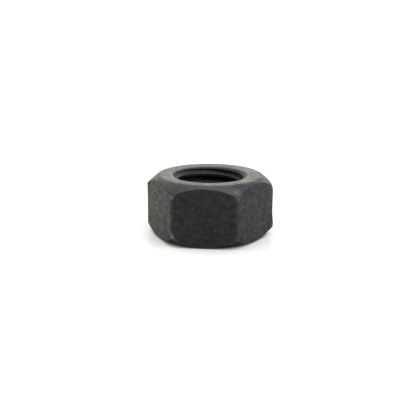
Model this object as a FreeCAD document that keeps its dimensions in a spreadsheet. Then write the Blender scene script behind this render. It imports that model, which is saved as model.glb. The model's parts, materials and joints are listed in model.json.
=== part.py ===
import FreeCAD, Part
import math
import os
import Sketcher

# A large forged hex nut with a coarse metric thread, M30 x 3.5, 46 mm across its flats.
#
# The nut stands on one of its two bearing faces, which lies at Z = 0.  The thread's axis is +Z, two
# of the six flats face +Y and -Y, and two of the six corners point along +X and -X.  The body is
# drawn about its own mid-height, so that both ends come from one set of cuts, and its Placement
# then lifts it by half its height.

doc = FreeCAD.newDocument("hex_nut")


# ---- driving dimensions, in millimetres and degrees ----

DIMENSIONS = [
    ("across_flats", 46.0, "distance between two opposite flats"),
    ("nut_height", 25.2, "from bearing face to bearing face"),
    ("corner_radius", 1.2, "rounding of the six upright corners"),
    ("bearing_dia", 42.8, "flat bearing face, where the corner chamfer starts"),
    ("chamfer_angle", 35.0, "slope of the corner chamfer where it leaves the bearing face"),
    ("chamfer_crown", 30.0, "radius by which the chamfer steepens towards the corners"),
    ("thread_dia", 30.0, "nominal and major diameter of the thread"),
    ("thread_pitch", 3.5, "coarse pitch"),
    ("flank_angle", 30.0, "slope of each flank of the thread"),
    ("thread_phase", 0.1, "share of a pitch by which the groove starts lower"),
    ("countersink_dia", 32.2, "mouth of the countersink in the bearing face"),
    ("countersink_angle", 120.0, "included angle of the countersink"),
    ("cutter_margin", 0.5, "how far a cutter's outline runs past the metal that it removes"),
]

sizes = doc.addObject("Spreadsheet::Sheet", "Sizes")
for row, (alias, value, note) in enumerate(DIMENSIONS, start=1):
    sizes.set(f"A{row}", note)
    sizes.set(f"B{row}", str(value))
    sizes.setAlias(f"B{row}", alias)
doc.recompute()

# Sizes that follow from the sheet.  The height of the sharp thread triangle is pitch x cos 30, and
# an internal thread fills five eighths of it.
HALF_HEIGHT = "Sizes.nut_height / 2"
BEARING_RADIUS = "Sizes.bearing_dia / 2"
SHARP_CORNER_RADIUS = "Sizes.across_flats / 2 / cos(30 deg)"
MAJOR_RADIUS = "Sizes.thread_dia / 2"
MINOR_RADIUS = "(Sizes.thread_dia / 2 - 5 / 8 * Sizes.thread_pitch * cos(30 deg))"
ROOT_WIDTH = "Sizes.thread_pitch / 8"
TURNS = 10
BORE_ARCS = 8


# ---- helpers ----


def value_of(expression):
    """The number that an expression of the sheet has now."""
    result = sizes.evalExpression(expression)
    return float(getattr(result, "Value", result))


def origin_plane(body, role):
    return next(f for f in body.Origin.OriginFeatures if f.Role == role)


def new_sketch(body, name, role):
    sketch = body.newObject("Sketcher::SketchObject", name)
    sketch.AttachmentSupport = (origin_plane(body, role), [""])
    sketch.MapMode = "FlatFace"
    return sketch


def dimension(sketch, name, expression, kind, *elements):
    """Add a named dimension to a sketch and bind it to the sheet."""
    index = sketch.addConstraint(Sketcher.Constraint(kind, *elements, value_of(expression)))
    sketch.renameConstraint(index, name)
    sketch.setExpression(f"Constraints.{name}", expression)


def place_point(sketch, name, geometry, point, x_expression, y_expression):
    """Dimension one end of an edge from the sketch's origin."""
    origin = (-1, 1)
    dimension(sketch, f"{name}_x", x_expression, "DistanceX", *origin, geometry, point)
    dimension(sketch, f"{name}_y", y_expression, "DistanceY", *origin, geometry, point)


def closed_outline(sketch, points):
    """Draw straight edges from point to point and back to the first."""
    vectors = [FreeCAD.Vector(x, y, 0) for x, y in points]
    ends = vectors[1:] + vectors[:1]
    edges = [
        sketch.addGeometry(Part.LineSegment(start, end), False)
        for start, end in zip(vectors, ends)
    ]
    for edge, following in zip(edges, edges[1:] + edges[:1]):
        sketch.addConstraint(Sketcher.Constraint("Coincident", edge, 2, following, 1))
    return edges


def must_shrink(feature, volume_before):
    """A cutter that points away from the metal removes nothing, so the volume is compared."""
    doc.recompute()
    volume = feature.Shape.Volume
    print(f"{feature.Name:<18} {volume:10.1f} mm3")
    if volume > volume_before - 1.0:
        raise RuntimeError(f"{feature.Name} removed nothing")
    return volume


# ---- the hexagonal blank ----


def hexagon_outline(body):
    """Six equal sides on a construction circle, two of them facing +Y and -Y."""
    sketch = new_sketch(body, "hexagon_outline", "XY_Plane")
    radius = value_of(SHARP_CORNER_RADIUS)
    angles = [math.radians(60 * corner) for corner in range(6)]
    sides = closed_outline(sketch, [(radius * math.cos(a), radius * math.sin(a)) for a in angles])
    circle = Part.Circle(FreeCAD.Vector(0, 0, 0), FreeCAD.Vector(0, 0, 1), radius)
    guide = sketch.addGeometry(circle, True)
    sketch.addConstraint(Sketcher.Constraint("Coincident", guide, 3, -1, 1))
    for side in sides:
        sketch.addConstraint(Sketcher.Constraint("PointOnObject", side, 1, guide))
    for side in sides[1:]:
        sketch.addConstraint(Sketcher.Constraint("Equal", sides[0], side))
    sketch.addConstraint(Sketcher.Constraint("PointOnObject", sides[0], 1, -1))
    dimension(sketch, "corner_circle", SHARP_CORNER_RADIUS, "Radius", guide)
    return sketch


def hexagonal_blank(body):
    blank = body.newObject("PartDesign::Pad", "hexagonal_blank")
    blank.Profile = hexagon_outline(body)
    blank.Midplane = True
    blank.setExpression("Length", "Sizes.nut_height")
    doc.recompute()
    return blank


def rounded_corners(body, blank):
    """Round the six upright edges, which run the whole height of the blank."""
    height = value_of("Sizes.nut_height")
    upright = [
        f"Edge{number}"
        for number, edge in enumerate(blank.Shape.Edges, start=1)
        if math.isclose(edge.BoundBox.ZLength, height, abs_tol=0.01)
    ]
    corners = body.newObject("PartDesign::Fillet", "rounded_corners")
    corners.Base = (blank, upright)
    corners.setExpression("Radius", "Sizes.corner_radius")
    return corners


# ---- cuts that both ends share ----


def corner_chamfer(body):
    """The lathe cut that takes the corners off: a crowned chamfer, steeper towards the corners."""
    sketch = new_sketch(body, "chamfer_outline", "XZ_Plane")
    crown = value_of("Sizes.chamfer_crown")
    slope = math.radians(value_of("Sizes.chamfer_angle"))
    start_x = value_of(BEARING_RADIUS)
    start_y = value_of(HALF_HEIGHT)
    outer_x = value_of(SHARP_CORNER_RADIUS) + value_of("Sizes.cutter_margin")
    top_y = start_y + value_of("Sizes.cutter_margin")
    centre_x = start_x - crown * math.sin(slope)
    centre_y = start_y - crown * math.cos(slope)
    outer_angle = math.acos((outer_x - centre_x) / crown)
    outer_y = centre_y + crown * math.sin(outer_angle)

    centre = FreeCAD.Vector(centre_x, centre_y, 0)
    circle = Part.Circle(centre, FreeCAD.Vector(0, 0, 1), crown)
    arc = sketch.addGeometry(Part.ArcOfCircle(circle, outer_angle, math.pi / 2 - slope), False)
    corners = [(start_x, start_y), (start_x, top_y), (outer_x, top_y), (outer_x, outer_y)]
    vectors = [FreeCAD.Vector(x, y, 0) for x, y in corners]
    inner = sketch.addGeometry(Part.LineSegment(vectors[0], vectors[1]), False)
    top = sketch.addGeometry(Part.LineSegment(vectors[1], vectors[2]), False)
    outer = sketch.addGeometry(Part.LineSegment(vectors[2], vectors[3]), False)
    sketch.addConstraint(Sketcher.Constraint("Coincident", arc, 2, inner, 1))
    sketch.addConstraint(Sketcher.Constraint("Coincident", inner, 2, top, 1))
    sketch.addConstraint(Sketcher.Constraint("Coincident", top, 2, outer, 1))
    sketch.addConstraint(Sketcher.Constraint("Coincident", outer, 2, arc, 1))
    sketch.addConstraint(Sketcher.Constraint("Vertical", inner))
    place_point(sketch, "start", arc, 2, BEARING_RADIUS, HALF_HEIGHT)
    dimension(sketch, "crown", "Sizes.chamfer_crown", "Radius", arc)
    run = "Sizes.chamfer_crown * sin(Sizes.chamfer_angle * 1 deg)"
    dimension(sketch, "centre_x", f"{BEARING_RADIUS} - {run}", "DistanceX", -1, 1, arc, 3)
    outside = f"{SHARP_CORNER_RADIUS} + Sizes.cutter_margin"
    dimension(sketch, "outside", outside, "DistanceX", -1, 1, arc, 1)
    above = f"{HALF_HEIGHT} + Sizes.cutter_margin"
    place_point(sketch, "top", outer, 1, outside, above)
    dimension(sketch, "inner_top", above, "DistanceY", -1, 1, top, 1)

    chamfer = body.newObject("PartDesign::Groove", "corner_chamfer")
    chamfer.Profile = sketch
    chamfer.ReferenceAxis = (sketch, ["V_Axis"])
    chamfer.Angle = 360.0
    return chamfer


def bore(body):
    """The hole at the thread's minor diameter.

    Its outline is eight equal arcs, so that the crest that the thread leaves is made of short
    strips, each an eighth of a turn long.
    """
    sketch = new_sketch(body, "bore_outline", "XY_Plane")
    radius = value_of(MINOR_RADIUS)
    circle = Part.Circle(FreeCAD.Vector(0, 0, 0), FreeCAD.Vector(0, 0, 1), radius)
    step = 2 * math.pi / BORE_ARCS
    arcs = [
        sketch.addGeometry(Part.ArcOfCircle(circle, number * step, (number + 1) * step), False)
        for number in range(BORE_ARCS)
    ]
    for arc in arcs:
        sketch.addConstraint(Sketcher.Constraint("Coincident", arc, 3, -1, 1))
    for arc, following in zip(arcs, arcs[1:] + arcs[:1]):
        sketch.addConstraint(Sketcher.Constraint("Coincident", arc, 2, following, 1))
    sketch.addConstraint(Sketcher.Constraint("PointOnObject", arcs[0], 1, -1))
    dimension(sketch, "minor_radius", MINOR_RADIUS, "Radius", arcs[0])

    hole = body.newObject("PartDesign::Pocket", "bore")
    hole.Profile = sketch
    hole.Type = "ThroughAll"
    hole.Midplane = True
    hole.Refine = False
    return hole


def countersink(body):
    """A 120 degree cone on the axis, as the tool's point is, sunk until its mouth is full size."""
    sketch = new_sketch(body, "countersink_outline", "XZ_Plane")
    mouth_x = value_of("Sizes.countersink_dia / 2")
    mouth_y = value_of(HALF_HEIGHT)
    depth = "Sizes.countersink_dia / 2 / tan(Sizes.countersink_angle / 2 * 1 deg)"
    tip_y = mouth_y - value_of(depth)
    edges = closed_outline(sketch, [(0, mouth_y), (0, tip_y), (mouth_x, mouth_y)])
    sketch.addConstraint(Sketcher.Constraint("PointOnObject", edges[0], 1, -2))
    sketch.addConstraint(Sketcher.Constraint("PointOnObject", edges[0], 2, -2))
    place_point(sketch, "mouth", edges[2], 1, "Sizes.countersink_dia / 2", HALF_HEIGHT)
    dimension(sketch, "middle_y", HALF_HEIGHT, "DistanceY", -1, 1, edges[0], 1)
    dimension(sketch, "tip_y", f"{HALF_HEIGHT} - {depth}", "DistanceY", -1, 1, edges[1], 1)

    cone = body.newObject("PartDesign::Groove", "countersink")
    cone.Profile = sketch
    cone.ReferenceAxis = (sketch, ["V_Axis"])
    cone.Angle = 360.0
    cone.Refine = False
    return cone


def both_ends(body, features):
    """Repeat the cuts of the upper end on the lower one."""
    mirrored = body.newObject("PartDesign::Mirrored", "both_ends")
    mirrored.Originals = features
    mirrored.MirrorPlane = (origin_plane(body, "XY_Plane"), [""])
    mirrored.Refine = False
    body.Tip = mirrored
    return mirrored


# ---- the thread ----


def internal_thread(body):
    """A right-hand groove with 60 degree flanks, cut along a helix.

    The cutter is a trapezium: an eighth of the pitch wide at the major radius and wider inwards, to
    just inside the bore.  Its turns are centred a little below mid-height, where the groove crosses
    the +X direction, and run out past both ends.
    """
    sketch = new_sketch(body, "thread_outline", "XZ_Plane")
    reach = f"({MINOR_RADIUS} - Sizes.cutter_margin)"
    flank_rise = f"({MAJOR_RADIUS} - {reach}) * tan(Sizes.flank_angle * 1 deg)"
    start = f"-({TURNS} / 2 + Sizes.thread_phase) * Sizes.thread_pitch"
    levels = {
        "inner_low": f"{start} - {ROOT_WIDTH} / 2 - {flank_rise}",
        "root_low": f"{start} - {ROOT_WIDTH} / 2",
        "root_high": f"{start} + {ROOT_WIDTH} / 2",
        "inner_high": f"{start} + {ROOT_WIDTH} / 2 + {flank_rise}",
    }
    radii = {
        "inner_low": reach,
        "root_low": MAJOR_RADIUS,
        "root_high": MAJOR_RADIUS,
        "inner_high": reach,
    }
    edges = closed_outline(sketch, [(value_of(radii[n]), value_of(levels[n])) for n in levels])
    for edge, name in zip(edges, levels):
        place_point(sketch, name, edge, 1, radii[name], levels[name])

    thread = body.newObject("PartDesign::SubtractiveHelix", "internal_thread")
    thread.Profile = sketch
    thread.ReferenceAxis = (sketch, ["V_Axis"])
    thread.Mode = "pitch-height-angle"
    thread.LeftHanded = False
    thread.Reversed = False
    thread.Angle = 0.0
    thread.Growth = 0.0
    thread.Refine = False
    thread.setExpression("Pitch", "Sizes.thread_pitch")
    thread.setExpression("Height", f"{TURNS} * Sizes.thread_pitch")
    return thread


# ---- the nut ----


def hex_nut():
    body = doc.addObject("PartDesign::Body", "hex_nut")
    body.Label = "hex_nut"
    blank = hexagonal_blank(body)
    volume = blank.Shape.Volume
    volume = must_shrink(rounded_corners(body, blank), volume)
    chamfer = corner_chamfer(body)
    volume = must_shrink(chamfer, volume)
    volume = must_shrink(bore(body), volume)
    cone = countersink(body)
    volume = must_shrink(cone, volume)
    volume = must_shrink(both_ends(body, [chamfer, cone]), volume)
    must_shrink(internal_thread(body), volume)
    lift = FreeCAD.Vector(0, 0, value_of(HALF_HEIGHT))
    body.Placement = FreeCAD.Placement(lift, FreeCAD.Rotation())
    return body


# ---- build, check and write ----

nodes = [hex_nut()]
doc.recompute()

for item in doc.Objects:
    faults = [word for word in item.State if word in ("Invalid", "Error")]
    if faults:
        raise RuntimeError(f"{item.Name} failed to compute: {faults}")

os.makedirs("parts", exist_ok=True)
for node in nodes:
    shape = node.Shape
    if shape.isNull() or not shape.isValid() or len(shape.Solids) != 1:
        raise RuntimeError(f"{node.Label} is not one valid solid")
    shape.exportStep(f"parts/{node.Label}.step")
    box = shape.optimalBoundingBox(True, False)
    print(f"{node.Label}: {box.XLength:.3f} x {box.YLength:.3f} x {box.ZLength:.3f} mm")
    print(f"{node.Label}: {len(shape.Faces)} faces, {shape.Volume:.1f} mm3")
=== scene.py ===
# %% [markdown]
# # A large hex nut with a matte black finish
#
# This lesson builds one steel nut, 46 mm across its flats, as a clean mesh with a real thread, and
# gives it the dull black coating that such nuts leave the factory with.  The shape follows a rule
# from end to end, so Geometry Nodes draw all of it from a few sizes.  The finish is made of a few
# shader node groups that the nut's surfaces share.
#
# The design model comes first: it fixes where the nut stands and how large it is.

# %% The frame
import json
import math
from collections import namedtuple

import bmesh
import bpy
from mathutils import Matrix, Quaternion, Vector


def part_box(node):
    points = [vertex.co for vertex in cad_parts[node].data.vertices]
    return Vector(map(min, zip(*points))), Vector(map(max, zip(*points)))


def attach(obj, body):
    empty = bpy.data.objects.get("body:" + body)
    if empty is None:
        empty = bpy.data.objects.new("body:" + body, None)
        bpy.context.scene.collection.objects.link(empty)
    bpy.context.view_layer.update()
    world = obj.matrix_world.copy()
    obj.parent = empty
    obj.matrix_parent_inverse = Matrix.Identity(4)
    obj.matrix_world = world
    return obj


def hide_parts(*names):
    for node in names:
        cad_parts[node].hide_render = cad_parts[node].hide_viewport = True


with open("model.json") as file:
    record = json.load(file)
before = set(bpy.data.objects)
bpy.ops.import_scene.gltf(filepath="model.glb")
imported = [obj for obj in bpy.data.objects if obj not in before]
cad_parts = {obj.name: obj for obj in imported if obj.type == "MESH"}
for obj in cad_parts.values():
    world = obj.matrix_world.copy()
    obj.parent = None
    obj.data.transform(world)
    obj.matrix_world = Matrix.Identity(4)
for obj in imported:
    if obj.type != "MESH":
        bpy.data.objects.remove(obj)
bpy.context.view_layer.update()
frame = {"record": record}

MM = 0.001
low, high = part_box("hex_nut")
print("the nut's box in mm:", [round(length / MM, 2) for length in high - low])

# %% [markdown]
# ## Sizes that others rely on
#
# A nut is a standard part, so almost every size of it is a given one.  Those that a spanner, a bolt
# or a washer meets are read from the record, so that this model can't drift away from the design.

# %% Sizes from the record
notes = frame["record"]["mount_notes"]
thread_facts = notes["thread"]["thread"]
countersink_facts = notes["thread"]["countersink"]
ring_facts = notes["upper_bearing_face"]["ring_mm"]

HEIGHT = high[2] - low[2]
APOTHEM = (high[1] - low[1]) / 2
MAJOR_RADIUS = thread_facts["major_dia_mm"] / 2 * MM
MINOR_RADIUS = thread_facts["minor_dia_mm"] / 2 * MM
PITCH = thread_facts["pitch_mm"] * MM
MOUTH_RADIUS = countersink_facts["mouth_dia_mm"] / 2 * MM
COUNTERSINK_ANGLE = math.radians(countersink_facts["included_angle_deg"])
BEARING_RADIUS = ring_facts["outer_dia"] / 2 * MM
print(f"height {HEIGHT / MM:.1f}, half width {APOTHEM / MM:.1f}, pitch {PITCH / MM:.1f} mm")

# %% [markdown]
# ## Sizes of the maker's own
#
# The rest is up to the maker.  A lathe turns the corners off both ends, at a slope that gets
# steeper outwards, which is the crown.  The lower end was set up a little differently: its bearing
# face is wider, and its chamfer is shallower where it starts and bends more.
#
# No edge of a real nut is sharp, and a sharp edge never catches the light, so each one has a small
# rounding.  The thread's phase says by what share of a pitch its groove lies below the middle.  The
# waist is how much the hexagon is narrower at mid-height, and the unevenness is what forging leaves.

# %% Chamfers, roundings and forging
CORNER_RADIUS = 1.2 * MM
CHAMFER_ANGLE = math.radians(35)
CHAMFER_CROWN = 30 * MM
LOWER_SPREAD = 0.55 * MM
LOWER_ANGLE = math.radians(30)
LOWER_CROWN = 18 * MM

MOUTH_ROUNDING = 0.42 * MM
BEARING_ROUNDING = 0.6 * MM
FLAT_ROUNDING = 0.28 * MM
THREAD_ROUNDING = 0.15 * MM

THREAD_PHASE = 0.1
WAIST = 0.10 * MM
UNEVENNESS = 0.03 * MM
print(f"the lower bearing face is {2 * LOWER_SPREAD / MM:.1f} mm wider than the upper one")

# %% [markdown]
# ## Camera
#
# The camera looks from a little above the floor through a longish lens, which keeps the nut's
# upright edges nearly parallel.  It stands on a sphere about the nut, at an azimuth and an
# elevation, and looks at a point close to the thread's axis.  It leans by half a degree, as a
# camera on a tripod does.

# %% Camera
CAMERA_AZIMUTH = math.radians(5.08)
CAMERA_ELEVATION = math.radians(17.37)
CAMERA_DISTANCE = 290.4 * MM
CAMERA_LENS = 58.7
CAMERA_LEAN = math.radians(0.43)
CAMERA_NEAREST = 10 * MM
AIM = Vector((0.15 * MM, 0, 9.68 * MM))


def direction_at(azimuth, elevation):
    """The way from the nut to a viewer; azimuth 0 is in front, on the -Y side."""
    level = math.cos(elevation)
    return Vector((math.sin(azimuth) * level, -math.cos(azimuth) * level, math.sin(elevation)))


camera = bpy.data.objects.new("camera", bpy.data.cameras.new("camera"))
bpy.context.scene.collection.objects.link(camera)
bpy.context.scene.camera = camera
camera.data.lens = CAMERA_LENS
camera.data.clip_start = CAMERA_NEAREST
camera.location = direction_at(CAMERA_AZIMUTH, CAMERA_ELEVATION) * CAMERA_DISTANCE
towards = (AIM - camera.location).to_track_quat("-Z", "Y")
camera.rotation_mode = "QUATERNION"
camera.rotation_quaternion = towards @ Quaternion((0, 0, 1), CAMERA_LEAN)
print("camera at", [round(value, 4) for value in camera.location])

# %% [markdown]
# ## Floor
#
# The nut stands on a plain white floor with a slight gloss.  The floor is so wide that its far edge
# lies on the horizon.  A faint glow of its own keeps it white in the nut's soft shadow, so only a
# thin dark line is left where the two touch.

# %% Floor
FLOOR_HALF_WIDTH = 6.0
FLOOR_COLOUR = (0.8, 0.795, 0.78, 1)
FLOOR_ROUGHNESS = 0.2
FLOOR_IOR = 1.25
FLOOR_GLOW = 0.035


def floor_material():
    material = bpy.data.materials.new("white_floor")
    material.use_nodes = True
    shader = material.node_tree.nodes["Principled BSDF"]
    shader.inputs["Base Color"].default_value = FLOOR_COLOUR
    shader.inputs["Roughness"].default_value = FLOOR_ROUGHNESS
    shader.inputs["IOR"].default_value = FLOOR_IOR
    shader.inputs["Emission Color"].default_value = (1, 1, 1, 1)
    shader.inputs["Emission Strength"].default_value = FLOOR_GLOW
    return material


corners = [(-1, -1), (1, -1), (1, 1), (-1, 1)]
floor_mesh = bpy.data.meshes.new("floor")
floor_mesh.from_pydata([(x * FLOOR_HALF_WIDTH, y * FLOOR_HALF_WIDTH, 0) for x, y in corners],
                       [], [(0, 1, 2, 3)])
floor_mesh.materials.append(floor_material())
floor = bpy.data.objects.new("floor", floor_mesh)
bpy.context.scene.collection.objects.link(floor)
print(f"the floor is {2 * FLOOR_HALF_WIDTH:.0f} m wide")

# %% [markdown]
# ## Arithmetic that draws nodes
#
# A rule such as *radius = apothem / cos(angle)* takes a dozen Math nodes.  The small class below
# keeps such rules readable: a `Field` stands for one output socket, and adding or multiplying
# fields adds the Math node and its links to the tree in hand.  The same class serves the room, the
# nut's shape and the shader groups, because all three kinds of tree use the same Math node.


# %% Fields
class Field:
    """One value that varies over a surface; Field.tree is the node tree in hand."""

    tree = None

    def __init__(self, socket):
        self.socket = socket

    def __add__(self, other):
        return calculate("ADD", self, other)

    def __radd__(self, other):
        return calculate("ADD", other, self)

    def __sub__(self, other):
        return calculate("SUBTRACT", self, other)

    def __rsub__(self, other):
        return calculate("SUBTRACT", other, self)

    def __mul__(self, other):
        return calculate("MULTIPLY", self, other)

    def __rmul__(self, other):
        return calculate("MULTIPLY", other, self)

    def __truediv__(self, other):
        return calculate("DIVIDE", self, other)

    def __rtruediv__(self, other):
        return calculate("DIVIDE", other, self)

    def __neg__(self):
        return calculate("MULTIPLY", self, -1.0)


# %% [markdown]
# Two helpers put nodes into the tree.  `feed` links a field to an input or sets it to a plain
# value, and `add_node` makes a node and feeds its inputs by name, with an underscore for a space.


# %% Adding nodes
def feed(socket, value):
    """Link a field or a socket to an input, or set the input to a plain value."""
    source = value.socket if isinstance(value, Field) else value
    if isinstance(source, bpy.types.NodeSocket):
        Field.tree.links.new(source, socket)
    else:
        socket.default_value = source


def add_node(kind, settings=None, **inputs):
    """Add a node; settings are its own options, and inputs are fed by name."""
    node = Field.tree.nodes.new(kind)
    for name, value in (settings or {}).items():
        setattr(node, name, value)
    for name, value in inputs.items():
        feed(node.inputs[name.replace("_", " ")], value)
    return node


def calculate(operation, *values):
    node = Field.tree.nodes.new("ShaderNodeMath")
    node.operation = operation
    for socket, value in zip(node.inputs, values):
        feed(socket, value)
    return Field(node.outputs[0])


# %% Rules in plain words
def sine(angle):
    return calculate("SINE", angle)


def cosine(angle):
    return calculate("COSINE", angle)


def tangent(angle):
    return calculate("TANGENT", angle)


def root(value):
    return calculate("SQRT", value)


def size_of(value):
    return calculate("ABSOLUTE", value)


def smaller(first, second):
    return calculate("MINIMUM", first, second)


def larger(first, second):
    return calculate("MAXIMUM", first, second)


def eased(share):
    """0 to 1 again, but slow at both ends, which crowds rows of points towards the edges."""
    return share * share * (3.0 - 2.0 * share)


def stretched(value, lowest, highest):
    """0 at lowest, 1 at highest, held at both ends."""
    node = add_node("ShaderNodeMapRange", Value=value, From_Min=lowest, From_Max=highest)
    return Field(node.outputs[0])


def blend_colours(share, first, second, blend="MIX"):
    node = add_node("ShaderNodeMix", {"data_type": "RGBA", "blend_type": blend})
    feed(node.inputs[0], share)
    for socket, value in ((node.inputs[6], first), (node.inputs[7], second)):
        feed(socket, (*value, 1.0) if isinstance(value, tuple) else value)
    return node.outputs[2]


# %% [markdown]
# ## Room
#
# Dull black steel shows its shape by what it mirrors, not by its own colour: the upper face is
# light because it mirrors the bright room behind it at a low angle.  So the nut stands in a white
# room.  The room is darker on the camera's side, which leaves the front flat almost black, and it
# is warm near the horizon, most of all on the left, and cool overhead.
#
# The camera itself sees an even white backdrop instead, so the floor has no visible end.  The room
# only has to be right where it lights the nut.

# %% Room
ROOM_NEAR_SIDE, ROOM_FAR_SIDE = -0.9, 0.5
BRIGHTNESS_NEAR, BRIGHTNESS_FAR = 0.25, 1.25
CEILING_START, CEILING_FULL = 0.2, 0.9
BRIGHTNESS_OVERHEAD = 0.8
RIGHT_SIDE, LEFT_SIDE = 0.3, -0.9
HORIZON_RIGHT = (1.0, 0.99, 0.94)
HORIZON_LEFT = (1.0, 0.93, 0.72)
OVERHEAD = (0.93, 0.96, 1.0)
BACKDROP_BRIGHTNESS = 1.1

world = bpy.data.worlds.new("white_room")
bpy.context.scene.world = world
world.use_nodes = True
world.node_tree.nodes.clear()
Field.tree = world.node_tree


def turning(value, start, full, first, last):
    """From first to last between two places, with a soft start and a soft end."""
    node = add_node("ShaderNodeMapRange", {"interpolation_type": "SMOOTHSTEP"}, Value=value,
                    From_Min=start, From_Max=full, To_Min=first, To_Max=last)
    return Field(node.outputs[0])


looking = add_node("ShaderNodeTexCoord").outputs["Generated"]
way = add_node("ShaderNodeSeparateXYZ", Vector=looking).outputs
depth = turning(way["Y"], ROOM_NEAR_SIDE, ROOM_FAR_SIDE, BRIGHTNESS_NEAR, BRIGHTNESS_FAR)
ceiling = turning(way["Z"], CEILING_START, CEILING_FULL, 1.0, BRIGHTNESS_OVERHEAD)
horizon = blend_colours(stretched(way["X"], RIGHT_SIDE, LEFT_SIDE), HORIZON_RIGHT, HORIZON_LEFT)
room_colour = blend_colours(way["Z"], horizon, OVERHEAD)
room = add_node("ShaderNodeBackground", Color=room_colour, Strength=depth * ceiling)
backdrop = add_node("ShaderNodeBackground", Color=(1, 1, 1, 1), Strength=BACKDROP_BRIGHTNESS)
seen = add_node("ShaderNodeLightPath").outputs["Is Camera Ray"]
either = add_node("ShaderNodeMixShader", Fac=seen)
feed(either.inputs[1], room.outputs[0])
feed(either.inputs[2], backdrop.outputs[0])
add_node("ShaderNodeOutputWorld", Surface=either.outputs[0])
print("the room has", len(world.node_tree.nodes), "nodes")

# %% [markdown]
# ## Lamps
#
# Three very wide lamps add to the room.  The one overhead stands almost upright above the nut and
# spreads over seventy degrees, so that it whitens the floor all round without a hard shadow.  The
# other two are weaker: the right flat gets a neutral lamp, and the left one a warm lamp.
#
# The standard view transform keeps the floor's white as white, where the default one would turn it
# to a light grey.

# %% Lamps
WHITE = (1.0, 1.0, 1.0)
SLIGHTLY_COOL = (0.97, 0.98, 1.0)
CREAM = (1.0, 0.93, 0.78)


def soft_sun(name, azimuth, elevation, strength, colour, spread):
    """A lamp so far away that it lights everything evenly; angles and spread in degrees."""
    lamp = bpy.data.objects.new(name, bpy.data.lights.new(name, "SUN"))
    bpy.context.scene.collection.objects.link(lamp)
    lamp.data.energy = strength
    lamp.data.color = colour
    lamp.data.angle = math.radians(spread)
    towards_lamp = direction_at(math.radians(azimuth), math.radians(elevation))
    lamp.rotation_mode = "QUATERNION"
    lamp.rotation_quaternion = towards_lamp.to_track_quat("Z", "Y")
    print(f"{name}: azimuth {azimuth}, elevation {elevation}, strength {strength}")


soft_sun("lamp_top", azimuth=10, elevation=76, strength=2.3, colour=WHITE, spread=70)
soft_sun("lamp_right", azimuth=70, elevation=38, strength=0.75, colour=SLIGHTLY_COOL, spread=50)
soft_sun("lamp_left", azimuth=-105, elevation=30, strength=0.5, colour=CREAM, spread=50)
bpy.context.scene.view_settings.view_transform = "Standard"

# %% [markdown]
# ## The tree and its inputs
#
# The nut could be cut from a cylinder with booleans, but those leave ragged faces along the chamfer
# and the thread.  Here each surface is drawn by its own rule instead, so every point lies where the
# maker's tool would have left it.  Every size is a named input of the tree, so the nut can be
# redrawn in another size from the modifier's panel.

# %% Inputs
nut_tree = bpy.data.node_groups.new("hex nut by rule", "GeometryNodeTree")
Field.tree = nut_tree
SIZES = {
    "Height": HEIGHT,
    "Apothem": APOTHEM,
    "Corner Radius": CORNER_RADIUS,
    "Bearing Radius": BEARING_RADIUS,
    "Chamfer Angle": CHAMFER_ANGLE,
    "Chamfer Crown": CHAMFER_CROWN,
    "Mouth Radius": MOUTH_RADIUS,
    "Countersink Angle": COUNTERSINK_ANGLE,
    "Major Radius": MAJOR_RADIUS,
    "Minor Radius": MINOR_RADIUS,
    "Pitch": PITCH,
    "Thread Phase": THREAD_PHASE,
    "Mouth Rounding": MOUTH_ROUNDING,
    "Bearing Rounding": BEARING_ROUNDING,
    "Lower Spread": LOWER_SPREAD,
    "Lower Angle": LOWER_ANGLE,
    "Lower Crown": LOWER_CROWN,
    "Flat Rounding": FLAT_ROUNDING,
    "Thread Rounding": THREAD_ROUNDING,
    "Waist": WAIST,
    "Unevenness": UNEVENNESS,
}
identifiers = {}
for name in SIZES:
    socket = nut_tree.interface.new_socket(name=name, in_out="INPUT", socket_type="NodeSocketFloat")
    identifiers[name] = socket.identifier
nut_tree.interface.new_socket(name="Geometry", in_out="OUTPUT", socket_type="NodeSocketGeometry")
group_input = nut_tree.nodes.new("NodeGroupInput")
size = {name: Field(group_input.outputs[name]) for name in SIZES}
print("the tree has", len(SIZES), "named sizes")

# %% [markdown]
# ## Round the nut: the columns
#
# Every surface below is a flat grid that a rule wraps round the axis.  Along the grid, `turn` goes
# once round the nut, and across it `station` goes from 0 at one edge to 1 at the other.  Each sixth
# of the turn is one corner with half a flat on either side: a few columns go round the corner's
# small arc, and the rest are spread evenly along the flats.  All the grids share these columns, so
# their edges meet point to point and can be welded.

# %% Columns
SECTORS = 6
COLUMNS_PER_CORNER = 8
COLUMNS_PER_FLAT = 32
COLUMNS = SECTORS * (COLUMNS_PER_CORNER + COLUMNS_PER_FLAT)
CORNER_SHARE = COLUMNS_PER_CORNER / (COLUMNS_PER_CORNER + COLUMNS_PER_FLAT)
SIXTH = math.radians(360 / SECTORS)
HALF_SIXTH = SIXTH / 2

place = nut_tree.nodes.new("GeometryNodeInputPosition")
along = add_node("ShaderNodeSeparateXYZ", Vector=place.outputs[0])
turn = Field(along.outputs["X"]) + 0.5
station = Field(along.outputs["Y"]) + 0.5

sector = calculate("FLOOR", turn * float(SECTORS))
within = (turn * float(SECTORS) - sector) * 2.0 - 1.0
side = calculate("SIGN", within)
facing = smaller(size_of(within) / CORNER_SHARE, 1.0) * side * HALF_SIXTH
travel = larger(size_of(within) - CORNER_SHARE, 0.0) / (1.0 - CORNER_SHARE)
print(COLUMNS, "columns go round the nut")

# %% [markdown]
# The outline in plan follows from these.  It is drawn for the corner that points along +X: a small
# arc about the corner's own centre, and then a straight half side.  The angle then gets the
# sector's share of the turn, which carries the piece of outline to its own corner.

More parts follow.
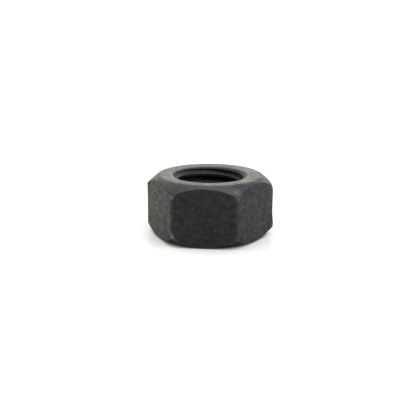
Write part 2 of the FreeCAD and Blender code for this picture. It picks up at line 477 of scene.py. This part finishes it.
# %% Outline
core = size["Apothem"] - size["Corner Radius"]
half_side = core * math.tan(HALF_SIXTH)
from_corner = travel * half_side
outline_x = core / math.cos(HALF_SIXTH) + size["Corner Radius"] * cosine(facing)
outline_x = outline_x - from_corner * math.sin(HALF_SIXTH)
outline_y = size["Corner Radius"] * sine(facing) + from_corner * side * math.cos(HALF_SIXTH)
outline_radius = root(outline_x * outline_x + outline_y * outline_y)
angle = calculate("ARCTAN2", outline_y, outline_x) + sector * SIXTH
half_height = size["Height"] / 2.0
print("the outline has its corners at 0, 60, 120 degrees and so on")

# %% [markdown]
# ## In section: the strips
#
# A strip is one grid.  Its rule gives the radius and the level of each point, the level being
# counted from mid-height.  The strip also stores two things for the finish: which zone it belongs
# to, and how far each point lies from the nearest edge, because edges are where a coating wears.

# %% Strips
FORGED, CHAMFERED, BEARING, THREADED, UNDERSIDE = range(5)
strips = []


def store(geometry, name, kind, domain, value):
    """Keep a value on the mesh as a named attribute, which a material can read later."""
    settings = {"data_type": kind, "domain": domain}
    node = add_node("GeometryNodeStoreNamedAttribute", settings, Geometry=geometry)
    node.inputs["Name"].default_value = name
    feed(node.inputs["Value"], value)
    return node.outputs["Geometry"]


def strip(rows, radius, level, edge_distance, zone, flip):
    """Wrap a grid round the axis; flip turns its faces, which have to look out of the metal."""
    grid = add_node("GeometryNodeMeshGrid", Size_X=1.0, Size_Y=1.0,
                    Vertices_X=COLUMNS + 1, Vertices_Y=rows + 1)
    mesh = store(grid.outputs["Mesh"], "edge_distance", "FLOAT", "POINT", edge_distance)
    mesh = store(mesh, "zone", "INT", "FACE", zone)
    at = add_node("ShaderNodeCombineXYZ", X=radius * cosine(angle), Y=radius * sine(angle),
                  Z=level + half_height)
    mesh = add_node("GeometryNodeSetPosition", Geometry=mesh, Position=at.outputs[0]).outputs[0]
    if flip:
        mesh = add_node("GeometryNodeFlipFaces", Mesh=mesh).outputs[0]
    strips.append(mesh)


def rounded(start, corner, end):
    """The radius and level of a curve from start to end that leans on the corner between them."""
    back = 1.0 - station
    return [
        back * back * first + 2.0 * back * station * middle + station * station * last
        for first, middle, last in zip(start, corner, end)
    ]


# %% [markdown]
# ## Three rules that the strips share
#
# The chamfer's section is an arc, because the cut gets steeper outwards, and `drop` says how deep
# it has become at a radius.  `squeezed` pulls the outside in a little towards mid-height, because
# forging leaves the hexagon with a slight waist.  `end_sizes` looks up what differs between the
# upper and the lower end.

# %% The chamfer's section and the waist
UPPER, LOWER = 1.0, -1.0


def drop(radius, bearing, slope, crown):
    """How far the chamfer has come away from a bearing face at a radius."""
    reach = radius - bearing + crown * sine(slope)
    return crown * cosine(slope) - root(crown * crown - reach * reach)


def squeezed(radius, level):
    share = level / half_height
    return radius * (1.0 - size["Waist"] / size["Apothem"] * (1.0 - share * share))


def end_sizes(end):
    """An end's bearing radius, the section of its chamfer, and the zone of its chamfer."""
    if end == UPPER:
        bearing = size["Bearing Radius"]
        return bearing, (bearing, size["Chamfer Angle"], size["Chamfer Crown"]), CHAMFERED
    bearing = size["Bearing Radius"] + size["Lower Spread"]
    return bearing, (bearing, size["Lower Angle"], size["Lower Crown"]), UNDERSIDE


# %% [markdown]
# ## Bearing faces
#
# A bearing face is a flat ring.  Inside, it rolls over a small lip into the countersink, and its
# outer edge rolls over the shoulder into the chamfer.  The ring's rows are crowded towards both
# edges, where the shading changes fastest.

# %% Lip and ring
RING_ROWS = 10
ROUNDING_ROWS = 4
mouth_reach = size["Mouth Rounding"] * tangent(size["Countersink Angle"] / 2.0)
bearing_reach = size["Bearing Rounding"]


def lip(end):
    radius, level = rounded(
        (size["Mouth Radius"] - mouth_reach, half_height - size["Mouth Rounding"]),
        (size["Mouth Radius"], half_height),
        (size["Mouth Radius"] + mouth_reach, half_height),
    )
    strip(ROUNDING_ROWS, radius, level * end, 0.0, BEARING, end == UPPER)


def ring(end):
    bearing = end_sizes(end)[0]
    start = size["Mouth Radius"] + mouth_reach
    finish = bearing - bearing_reach
    radius = start + (finish - start) * eased(station)
    edge = smaller(radius - start, finish - radius)
    strip(RING_ROWS, radius, half_height * end, edge, BEARING, end == UPPER)


# %% [markdown]
# ## Chamfers
#
# Where the round cut meets the six flats, it leaves the arched line that every nut has.  Because
# each column knows its own distance to the flat, one row of points runs exactly along that arch,
# and no boolean is needed.  The chamfer has three strips: the shoulder at the bearing face, the
# cut itself, and the small rounding along the arch.  That last one wears less than a corner does,
# so its distance from an edge counts as half a millimetre.

# %% Shoulder, cut and arch
CHAMFER_ROWS = 12
ARCH_MARGIN = 0.5 * MM
ARCH_SLOPE = math.radians(40)
flat_reach = size["Flat Rounding"]
inner_reach = flat_reach * math.cos(ARCH_SLOPE)


def shoulder(end):
    bearing, section, zone = end_sizes(end)
    start = bearing + bearing_reach
    radius, level = rounded(
        (bearing - bearing_reach, half_height),
        (bearing, half_height),
        (start, half_height - drop(start, *section)),
    )
    strip(ROUNDING_ROWS, squeezed(radius, level), level * end, 0.0, zone, end == UPPER)


def turned_cut(end):
    bearing, section, zone = end_sizes(end)
    start = bearing + bearing_reach
    finish = outline_radius - inner_reach
    radius = start + (finish - start) * eased(station)
    level = (half_height - drop(radius, *section)) * end
    edge = smaller(radius - start, finish - radius + ARCH_MARGIN)
    strip(CHAMFER_ROWS, squeezed(radius, level), level, edge, zone, end == UPPER)


def arch(end):
    """The rounding along the arch; gives back the level at which the flat starts."""
    section = end_sizes(end)[1]
    arch_level = half_height - drop(outline_radius, *section)
    inner = outline_radius - inner_reach
    radius, level = rounded(
        (inner, half_height - drop(inner, *section)),
        (outline_radius, arch_level),
        (outline_radius, arch_level - flat_reach),
    )
    strip(ROUNDING_ROWS, squeezed(radius, level), level * end, ARCH_MARGIN, FORGED, end == UPPER)
    return arch_level - flat_reach


# %% [markdown]
# ## Both ends and the flats
#
# The two ends are the same five strips, and only the direction and the chamfer differ.  One more
# strip, the tallest, runs from the upper arch to the lower one and makes all six flats and the
# corners between them.

# %% Ends and flats
FLAT_ROWS = 16
flat_levels = []
for end in (UPPER, LOWER):
    lip(end)
    ring(end)
    shoulder(end)
    turned_cut(end)
    flat_levels.append(arch(end))

flat_top, flat_bottom = flat_levels
flat_level = flat_top - (flat_top + flat_bottom) * eased(station)
arch_edge = smaller(flat_top - flat_level, flat_bottom + flat_level) + ARCH_MARGIN
flat_edge = smaller(arch_edge, from_corner)
strip(FLAT_ROWS, squeezed(outline_radius, flat_level), flat_level, flat_edge, FORGED, True)
print("the outside has", len(strips), "strips of", COLUMNS, "columns")

# %% [markdown]
# ## Thread
#
# The bore is one more grid, but its rows climb: going once round raises every row by one pitch, so
# each row becomes the one a turn above it, and the seam closes.  Sixteen rows to a pitch put a row
# exactly on each bend of the standard profile: an eighth of the pitch is flat at the root, a
# quarter at the crest, and the flanks between them slope at 30 degrees.
#
# The countersink is a cone.  Wherever it lies further out than the thread, the cone wins.  Rows
# that would climb past the mouth are held at it, where the weld removes them.

# %% Thread profile
ROWS_PER_PITCH = 16
TURNS = 10
THREAD_ROWS = TURNS * ROWS_PER_PITCH
HALF_ROOT = 1 / 16
FLANK_ANGLE = math.radians(30)

climb = station * float(TURNS)
from_groove = size_of(calculate("FRACT", climb + 0.5) - 0.5)
flank = size["Major Radius"] - (from_groove - HALF_ROOT) * size["Pitch"] / math.tan(FLANK_ANGLE)
profile = calculate("SMOOTH_MIN", flank, size["Major Radius"], size["Thread Rounding"])
profile = calculate("SMOOTH_MAX", profile, size["Minor Radius"], size["Thread Rounding"])
print(THREAD_ROWS, "rows of points climb", TURNS, "turns")

# %% Thread and countersink
CREST_MARGIN = 0.2 * MM

mouth_level = half_height - size["Mouth Rounding"]
free_level = (climb - TURNS / 2 + angle / (2 * math.pi) - size["Thread Phase"]) * size["Pitch"]
thread_level = larger(smaller(free_level, mouth_level), -mouth_level)
sunk = half_height - size_of(thread_level)
cone = size["Mouth Radius"] - sunk * tangent(size["Countersink Angle"] / 2.0)
thread_edge = size_of(profile - size["Minor Radius"]) + CREST_MARGIN
strip(THREAD_ROWS, larger(profile, cone), thread_level, thread_edge, THREADED, True)
print(f"the groove is {(MAJOR_RADIUS - MINOR_RADIUS) / MM:.2f} mm deep")

# %% [markdown]
# ## Weld and unevenness
#
# The strips are joined and their shared points merged, which leaves one closed skin.  A forging is
# never perfectly flat, so a slow noise then moves the outside inwards by a few hundredths of a
# millimetre.  Its seed is fixed, so every run gives the same nut.  The move fades out at the
# bearing faces, and the thread, which is cut last, stays true.

# %% Weld
WELD_DISTANCE = 0.001 * MM
UNEVENNESS_SCALE = 140.0
UNEVENNESS_SEED = 3.0
UNEVENNESS_FADE = 1.5 * MM

joined = nut_tree.nodes.new("GeometryNodeJoinGeometry")
for mesh in strips:
    feed(joined.inputs[0], mesh)
weld = add_node("GeometryNodeMergeByDistance", Geometry=joined.outputs[0], Distance=WELD_DISTANCE)
noise = add_node("ShaderNodeTexNoise", {"noise_dimensions": "4D"}, W=UNEVENNESS_SEED,
                 Scale=UNEVENNESS_SCALE, Detail=1.0)
here = add_node("ShaderNodeSeparateXYZ", Vector=place.outputs[0])
normal = nut_tree.nodes.new("GeometryNodeInputNormal")
out_from_axis = root(Field(here.outputs["X"]) * Field(here.outputs["X"])
                     + Field(here.outputs["Y"]) * Field(here.outputs["Y"]))
outside = smaller(larger((out_from_axis - BEARING_RADIUS) / UNEVENNESS_FADE, 0.0), 1.0)


def pushed(geometry, share, distance):
    """Move the skin along its normals, outwards for a distance above zero."""
    shift = add_node("ShaderNodeVectorMath", {"operation": "SCALE"}, Scale=share * distance)
    feed(shift.inputs[0], normal.outputs[0])
    return add_node("GeometryNodeSetPosition", Geometry=geometry, Offset=shift.outputs[0]).outputs[0]


marked = pushed(weld.outputs[0], Field(noise.outputs[0]) - 1.0, size["Unevenness"] * outside)
print(f"the outside moves by up to {UNEVENNESS / MM:.2f} mm")

# %% [markdown]
# ## Knocks, scuffs and a flare
#
# Nuts are shipped loose in a crate and strike each other.  A blow flattens a corner's end by a few
# tenths of a millimetre, and there the colour turns lighter: partly exposed steel, and partly a
# painted highlight, the glint that a corner's rounded end catches.  A scuff only scratches the
# coating.  Both are soft balls of influence on a chamfer: `nearness_to` is 1 at the centre and fades
# to 0 at the reach.  The knocks push the skin in, and the two stored attributes tell the finish
# later where steel shows and where the corner highlights are painted.
#
# The flare is metal that the forging die squeezed out at one corner, so it is pushed outwards.

# %% Places on a chamfer
CORNER_END = 26.3 * MM


def on_chamfer(degrees, end, radius=CORNER_END):
    """A point on a chamfer, at so many degrees round the axis; a corner's end if no radius."""
    slope, crown = (CHAMFER_ANGLE, CHAMFER_CROWN) if end == UPPER else (LOWER_ANGLE, LOWER_CROWN)
    bearing = BEARING_RADIUS + (0 if end == UPPER else LOWER_SPREAD)
    reach = radius - bearing + crown * math.sin(slope)
    below = crown * math.cos(slope) - math.sqrt(crown ** 2 - reach ** 2)
    around = math.radians(degrees)
    return Vector((radius * math.cos(around), radius * math.sin(around),
                   HEIGHT / 2 + end * (HEIGHT / 2 - below)))


def nearness_to(centre, reach):
    gap = add_node("ShaderNodeVectorMath", {"operation": "DISTANCE"})
    feed(gap.inputs[0], place.outputs[0])
    gap.inputs[1].default_value = centre
    return eased(1.0 - smaller(Field(gap.outputs["Value"]) / reach, 1.0))


# %% Flare and knocks
Knock = namedtuple("Knock", "degrees end reach depth bared")
# Painted highlight: each entry's last number is how much lighter its corner is painted, partly
# exposed steel and partly the glint of the corner's rounded end.
KNOCKS = [
    Knock(240, LOWER, 3.8 * MM, 0.55 * MM, bared=1.0),
    Knock(240, UPPER, 2.2 * MM, 0.25 * MM, bared=1.0),
    Knock(0, UPPER, 2.2 * MM, 0.25 * MM, bared=0.5),
    Knock(60, LOWER, 1.8 * MM, 0.20 * MM, bared=0.5),
    Knock(120, UPPER, 2.0 * MM, 0.25 * MM, bared=0.5),
    Knock(300, LOWER, 3.8 * MM, 0.50 * MM, bared=0.25),
    Knock(300, UPPER, 2.8 * MM, 0.30 * MM, bared=0.35),
]
FLARE = 0.35 * MM
FLARE_REACH = 5.5 * MM
FLARE_LIFT = FLARE_REACH / 4

flare_at = on_chamfer(0, LOWER) + Vector((0, 0, FLARE_LIFT))
marked = pushed(marked, nearness_to(flare_at, FLARE_REACH), FLARE)
# Painted highlight and exposed steel together: the largest lighter share of all knocks, stored for
# the finish.
bared = 0.0
for knock_and_glint in KNOCKS:
    share = nearness_to(on_chamfer(knock_and_glint.degrees, knock_and_glint.end), knock_and_glint.reach)
    bared = larger(bared, share * knock_and_glint.bared)
    marked = pushed(marked, share, -knock_and_glint.depth)
marked = store(marked, "knock_and_glint", "FLOAT", "POINT", bared)
print(len(KNOCKS), "knocks, the deepest", max(knock_and_glint.depth for knock_and_glint in KNOCKS) / MM, "mm")

# %% Scuffs
Scuff = namedtuple("Scuff", "degrees radius reach")
SCUFFS = [
    Scuff(301, 24.2 * MM, 2.4 * MM),
    Scuff(205, 23.5 * MM, 1.6 * MM),
    Scuff(30, 23.0 * MM, 2.4 * MM),
]

scuffed = 0.0
for scuff in SCUFFS:
    centre = on_chamfer(scuff.degrees, UPPER, scuff.radius)
    scuffed = larger(scuffed, nearness_to(centre, scuff.reach))
marked = store(marked, "scuff", "FLOAT", "POINT", scuffed)
smooth = add_node("GeometryNodeSetShadeSmooth", Geometry=marked)
print(len(SCUFFS), "scuffs on the upper chamfer")

# %% [markdown]
# ## Zones get their materials
#
# The tree ends by realizing the mesh and giving each zone its material, found by the zone's number
# that every face carries.  The materials are still empty here and get their nodes further down.

# %% Zones
zone_materials = {
    FORGED: bpy.data.materials.new("black_forged_flat"),
    CHAMFERED: bpy.data.materials.new("black_chamfer"),
    BEARING: bpy.data.materials.new("black_bearing_face"),
    THREADED: bpy.data.materials.new("black_thread"),
    UNDERSIDE: bpy.data.materials.new("black_lower_chamfer_painted_shade"),
}
zone = add_node("GeometryNodeInputNamedAttribute", {"data_type": "INT"})
zone.inputs["Name"].default_value = "zone"
finished = add_node("GeometryNodeRealizeInstances", Geometry=smooth.outputs[0]).outputs[0]
for number, material in zone_materials.items():
    chosen = add_node("FunctionNodeCompare", {"data_type": "INT", "operation": "EQUAL"})
    feed(chosen.inputs[2], zone.outputs["Attribute"])
    chosen.inputs[3].default_value = number
    painted = add_node("GeometryNodeSetMaterial", Geometry=finished, Selection=chosen.outputs[0])
    painted.inputs["Material"].default_value = material
    finished = painted.outputs[0]
group_output = add_node("NodeGroupOutput")
feed(group_output.inputs[0], finished)
print("the tree has", len(nut_tree.nodes), "nodes and", len(zone_materials), "zones")

# %% [markdown]
# ## From the tree to a plain mesh
#
# The tree runs as a modifier on an empty mesh.  Its inputs are set first, by each socket's
# identifier, and then the evaluated result is copied into a mesh of its own, so that the piece
# that is kept has no modifier on it.

# %% The nut's mesh
drawing = bpy.data.objects.new("drawing", bpy.data.meshes.new("drawing"))
bpy.context.scene.collection.objects.link(drawing)
modifier = drawing.modifiers.new("rule", "NODES")
modifier.node_group = nut_tree
for name, value in SIZES.items():
    modifier[identifiers[name]] = value
evaluated = drawing.evaluated_get(bpy.context.evaluated_depsgraph_get())
nut_mesh = bpy.data.meshes.new_from_object(evaluated)
nut_mesh.name = "black_hex_nut"
bpy.data.objects.remove(drawing)
nut = bpy.data.objects.new("black_hex_nut", nut_mesh)
bpy.context.scene.collection.objects.link(nut)
print(len(nut_mesh.vertices), "points,", len(nut_mesh.polygons), "faces")

# %% [markdown]
# A closed skin with its faces outwards has no open edges and a volume above zero.  Both are quick
# to measure, and the volume should be close to the design model's.

# %% A look at the mesh
MM3 = MM ** 3
look = bmesh.new()
look.from_mesh(nut_mesh)
open_edges = sum(1 for edge in look.edges if not edge.is_manifold)
volume = look.calc_volume(signed=True)
triangles = sum(len(face.verts) - 2 for face in look.faces)
look.free()
print(f"{triangles} triangles, {open_edges} open edges, {volume / MM3:.0f} mm3")

# %% [markdown]
# ## The finish: shared effects
#
# Phosphating grows a skin of fine dark crystals on the steel, and oil holds in it.  Close up the
# skin is mottled: slightly brown in one place, slightly blue in another, and rubbed lighter along
# the edges.  Three small node groups make these effects, and each material uses them with values
# of its own.
#
# The first group is the skin itself.  It gives out three noises: the crystals, the mottle of
# darker and lighter patches, and one for the tint, whose patches are four times as wide.

# %% Phosphate skin
FLOAT, VECTOR = "NodeSocketFloat", "NodeSocketVector"
TINT_SCALE = 1 / 4


def start_group(name, inputs, outputs):
    tree = bpy.data.node_groups.new(name, "ShaderNodeTree")
    for label, kind in inputs.items():
        tree.interface.new_socket(name=label, in_out="INPUT", socket_type=kind)
    for label in outputs:
        tree.interface.new_socket(name=label, in_out="OUTPUT", socket_type=FLOAT)
    Field.tree = tree
    print(f"{name}: gives out", ", ".join(outputs))
    return tree, tree.nodes.new("NodeGroupInput"), tree.nodes.new("NodeGroupOutput")


def noise_field(vector, scale, detail, roughness, distortion=0.0):
    node = add_node("ShaderNodeTexNoise", Vector=vector, Scale=scale, Detail=detail,
                    Roughness=roughness, Distortion=distortion)
    return Field(node.outputs[0])


skin, given, made = start_group(
    "phosphate skin", {"Vector": VECTOR, "Crystal Size": FLOAT, "Patch Size": FLOAT},
    ["Crystals", "Mottle", "Tint"])
where = given.outputs["Vector"]
crystal = Field(given.outputs["Crystal Size"])
patch = Field(given.outputs["Patch Size"])
crystals = noise_field(where, 1.0 / crystal, detail=2.0, roughness=0.6)
mottle = noise_field(where, 1.0 / patch, detail=4.0, roughness=0.7, distortion=0.2)
tint = noise_field(where, TINT_SCALE / patch, detail=3.0, roughness=0.55)
feed(made.inputs["Crystals"], crystals)
feed(made.inputs["Mottle"], mottle)
feed(made.inputs["Tint"], tint)

# %% [markdown]
# ## Edge wear
#
# The wear has three causes, and the strongest one wins at each point.  Rubbing takes the coating off
# close to an edge, but only in patches.  At a struck corner a wider band along the nearest edge is
# painted lighter, partly as exposed steel and partly as a painted highlight, the glint of the
# corner's rounded end.  A scuff leaves fine scratches.  The distances and the knocks come from the
# attributes that the mesh stores.
#
# Each pair of limits below says where an effect starts and where it is full.  Nearness is 1 on the
# edge and 0 at the reach, and a noise hovers about 0.5.

# %% Edge wear
KNOCK_GLINT_STRENGTH = 4.2
SCUFF_STRENGTH = 3.4
RUBBED_SCALE = 500.0
SCRATCH_SCALE = 1400.0
RUBBED_NEARNESS = (0.5, 1.0)
RUBBED_PATCHES = (0.35, 0.75)
CHIPPED_GLINT_NEARNESS = (0.2, 0.6)
SCRATCHED = (0.42, 0.62)

wear, given, made = start_group(
    "edge wear and glint",
    {"Vector": VECTOR, "Edge Distance": FLOAT, "Knock": FLOAT, "Scuff": FLOAT, "Reach": FLOAT},
    ["Wear"])
where = given.outputs["Vector"]
patches = noise_field(where, RUBBED_SCALE, detail=3.0, roughness=0.6)
scratches = noise_field(where, SCRATCH_SCALE, detail=2.0, roughness=0.6)
nearness = 1.0 - smaller(Field(given.outputs["Edge Distance"]) / Field(given.outputs["Reach"]), 1.0)
rubbed = stretched(nearness, *RUBBED_NEARNESS) * stretched(patches, *RUBBED_PATCHES)
# Painted highlight: next to a struck corner this band is painted lighter for the corner's glint, and
# partly also where the coating has come off.
chipped_and_glint = stretched(nearness, *CHIPPED_GLINT_NEARNESS) * Field(given.outputs["Knock"]) * KNOCK_GLINT_STRENGTH
scratched = Field(given.outputs["Scuff"]) * stretched(scratches, *SCRATCHED) * SCUFF_STRENGTH
feed(made.inputs["Wear"], larger(larger(rubbed, chipped_and_glint), scratched))

# %% [markdown]
# ## Lathe marks
#
# A lathe tool leaves fine rings about the axis.  The noise is read in round coordinates: the radius
# counts in units of the rings' spacing, and the direction hardly changes it, so each patch of noise
# is drawn out into part of a ring.  Streaks are broad and lighter, and ridges are for the bump.

# %% Lathe marks
AROUND = 1.4
STREAK_SCALE = 0.6
RIDGE_SCALE = 2.2

marks, given, made = start_group(
    "lathe marks", {"Vector": VECTOR, "Spacing": FLOAT}, ["Streaks", "Ridges"])
parts = add_node("ShaderNodeSeparateXYZ", Vector=given.outputs["Vector"])
x, y, z = (Field(parts.outputs[name]) for name in "XYZ")
distance = root(x * x + y * y)
ring_place = add_node("ShaderNodeCombineXYZ", X=distance / Field(given.outputs["Spacing"]),
                      Y=x / distance * AROUND, Z=y / distance * AROUND).outputs[0]
feed(made.inputs["Streaks"], noise_field(ring_place, STREAK_SCALE, detail=3.0, roughness=0.6))
feed(made.inputs["Ridges"], noise_field(ring_place, RIDGE_SCALE, detail=1.0, roughness=0.5))

# %% [markdown]
# ## One black coating for five surfaces
#
# All five surfaces have the same black skin on different ground, so one function builds the
# material, and a finish says what differs.  The colour goes from dark to light with the mottle and
# the streaks, then leans to cool or warm, and ends at exposed steel where the coating is rubbed off
# and at the painted highlights of the struck corners.
# Crystals and mottle also change the roughness a little, which breaks up the reflections.
#
# A noise seldom strays far from 0.5, so the limits below stretch its middle to the full range.
# `COAT` holds the values that most surfaces share: the sizes of the crystals and patches, how much
# flatter than round the patches are, how far wear reaches from an edge, the spacing of the lathe's
# rings, and the strengths of mottle, rings and ridges.
#
# The coat isn't a metal and mirrors little, so the specular level stays low.  It is a plain number
# on the shader's own socket.

# %% The coating
COOL = (0.94, 0.99, 1.08)
WARM = (1.06, 1.00, 0.87)
MOTTLE_LIMITS = (0.40, 0.62)
STREAK_LIMITS = (0.4, 0.7)
TINT_LIMITS = (0.4, 0.6)
ROUGHNESS_CHANGE = 0.2
WORN_ROUGHNESS = 0.1
WORN_METALLIC = 0.3
BUMP_DEPTH = 0.05 * MM
COAT = {"crystal": 0.25 * MM, "patch": 2.2 * MM, "squash": 1.0, "reach": 0.8 * MM,
        "spacing": 0.25 * MM, "mottle": 0.5, "rings": 0.0, "ridges": 0.0}


def use_group(tree, **inputs):
    return add_node("ShaderNodeGroup", {"node_tree": tree}, **inputs).outputs


def attribute(name):
    return add_node("ShaderNodeAttribute", {"attribute_name": name}).outputs["Fac"]


def coat_colour(finish, mottle, streak, tint, worn_and_glint):
    colour = blend_colours(mottle * finish["mottle"], finish["dark"], finish["light"])
    colour = blend_colours(streak * finish["rings"], colour, finish["light"])
    colour = blend_colours(1.0, colour, blend_colours(tint, COOL, WARM), "MULTIPLY")
    return blend_colours(worn_and_glint, colour, finish["bare"])


def black_steel(zone, **own):
    """Build the black coating of a zone; own holds what differs from the plain coat."""
    finish = {**COAT, **own}
    material = zone_materials[zone]
    material.use_nodes = True
    Field.tree = material.node_tree
    shader = material.node_tree.nodes["Principled BSDF"]
    where = add_node("ShaderNodeTexCoord").outputs["Object"]
    squashed = add_node("ShaderNodeMapping", Vector=where)
    squashed.inputs["Scale"].default_value = (1.0, 1.0, finish["squash"])
    coat = use_group(skin, Vector=squashed.outputs[0], Crystal_Size=finish["crystal"],
                     Patch_Size=finish["patch"])
    rub = use_group(wear, Vector=where, Edge_Distance=attribute("edge_distance"),
                    Knock=attribute("knock_and_glint"), Scuff=attribute("scuff"), Reach=finish["reach"])
    rings = use_group(marks, Vector=where, Spacing=finish["spacing"])

    mottle = stretched(coat["Mottle"], *MOTTLE_LIMITS)
    streak = stretched(rings["Streaks"], *STREAK_LIMITS)
    tint = stretched(coat["Tint"], *TINT_LIMITS)
    # Painted highlight: this lighter share holds the painted glint at struck corners as well as
    # rubbed coating.
    worn_and_glint = smaller(Field(rub["Wear"]) * finish["wear"], 1.0)
    feed(shader.inputs["Base Color"], coat_colour(finish, mottle, streak, tint, worn_and_glint))

    crystals = Field(coat["Crystals"])
    unevenly = (crystals - 0.5) * ROUGHNESS_CHANGE - (mottle - 0.5) * ROUGHNESS_CHANGE
    feed(shader.inputs["Roughness"], finish["roughness"] + unevenly - worn_and_glint * WORN_ROUGHNESS)
    feed(shader.inputs["Metallic"], worn_and_glint * WORN_METALLIC)
    shader.inputs["Specular IOR Level"].default_value = finish["specular"]
    height = (crystals * finish["grain"] + mottle * finish["lumps"]
              + Field(rings["Ridges"]) * finish["ridges"])
    bump = add_node("ShaderNodeBump", Height=height, Distance=BUMP_DEPTH, Strength=1.0)
    feed(shader.inputs["Normal"], bump.outputs[0])
    print(material.name, "has", len(material.node_tree.nodes), "nodes")


# %% [markdown]
# ## Forged flats
#
# The flats are as the forging die left them: the dullest of all, a little brown, and with the
# strongest mottle, whose patches are wider than they are high.  Nothing was turned here, so there
# are no rings.

# %% Forged flats
black_steel(FORGED, dark=(0.0080, 0.0081, 0.0080), light=(0.0270, 0.0269, 0.0262),
            bare=(0.14, 0.135, 0.125), squash=1.5, reach=1.0 * MM, mottle=0.55, wear=0.25,
            roughness=0.5, specular=0.225, grain=0.6, lumps=0.2)

# %% [markdown]
# ## Turned faces
#
# The tool leaves a smoother ground with faint rings.  The upper chamfer leans towards blue.  The
# bearing faces are the lightest surfaces, because nuts in a crate slide on them and rub them grey.
# The lower chamfer is duller, and its darker colour is painted shade, the shadow it stands in near
# the floor.

# %% Turned faces
black_steel(CHAMFERED, dark=(0.0095, 0.0098, 0.0112), light=(0.030, 0.0305, 0.0335),
            bare=(0.15, 0.152, 0.160), rings=0.3, wear=0.2, roughness=0.36, specular=0.34,
            grain=0.5, lumps=0.5, ridges=0.5)
black_steel(BEARING, dark=(0.044, 0.042, 0.038), light=(0.108, 0.105, 0.098),
            bare=(0.22, 0.215, 0.20), rings=0.4, wear=0.4, roughness=0.38, specular=0.4,
            grain=0.4, lumps=0.4, ridges=0.5)
# Painted shade: the lower chamfer's dark and light colours are lowered to stand for the shadow near
# the floor.
black_steel(UNDERSIDE, dark=(0.0075, 0.0075, 0.0072), light=(0.022, 0.0215, 0.021),
            bare=(0.12, 0.118, 0.112), rings=0.2, wear=0.3, roughness=0.55, specular=0.12,
            grain=0.5, lumps=0.4, ridges=0.5)

# %% [markdown]
# ## Thread
#
# The thread is freshly cut and holds the most oil, so it is darker than the chamfer and wears
# only on its crests.

# %% Thread's finish
black_steel(THREADED, dark=(0.0095, 0.009, 0.0115), light=(0.020, 0.020, 0.023),
            bare=(0.06, 0.06, 0.06), reach=0.4 * MM, mottle=0.4, wear=0.2, roughness=0.42,
            specular=0.2, grain=0.3, lumps=0.2)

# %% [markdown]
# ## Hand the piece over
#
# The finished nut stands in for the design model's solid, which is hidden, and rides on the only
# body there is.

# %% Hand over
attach(nut, "root")
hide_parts("hex_nut")
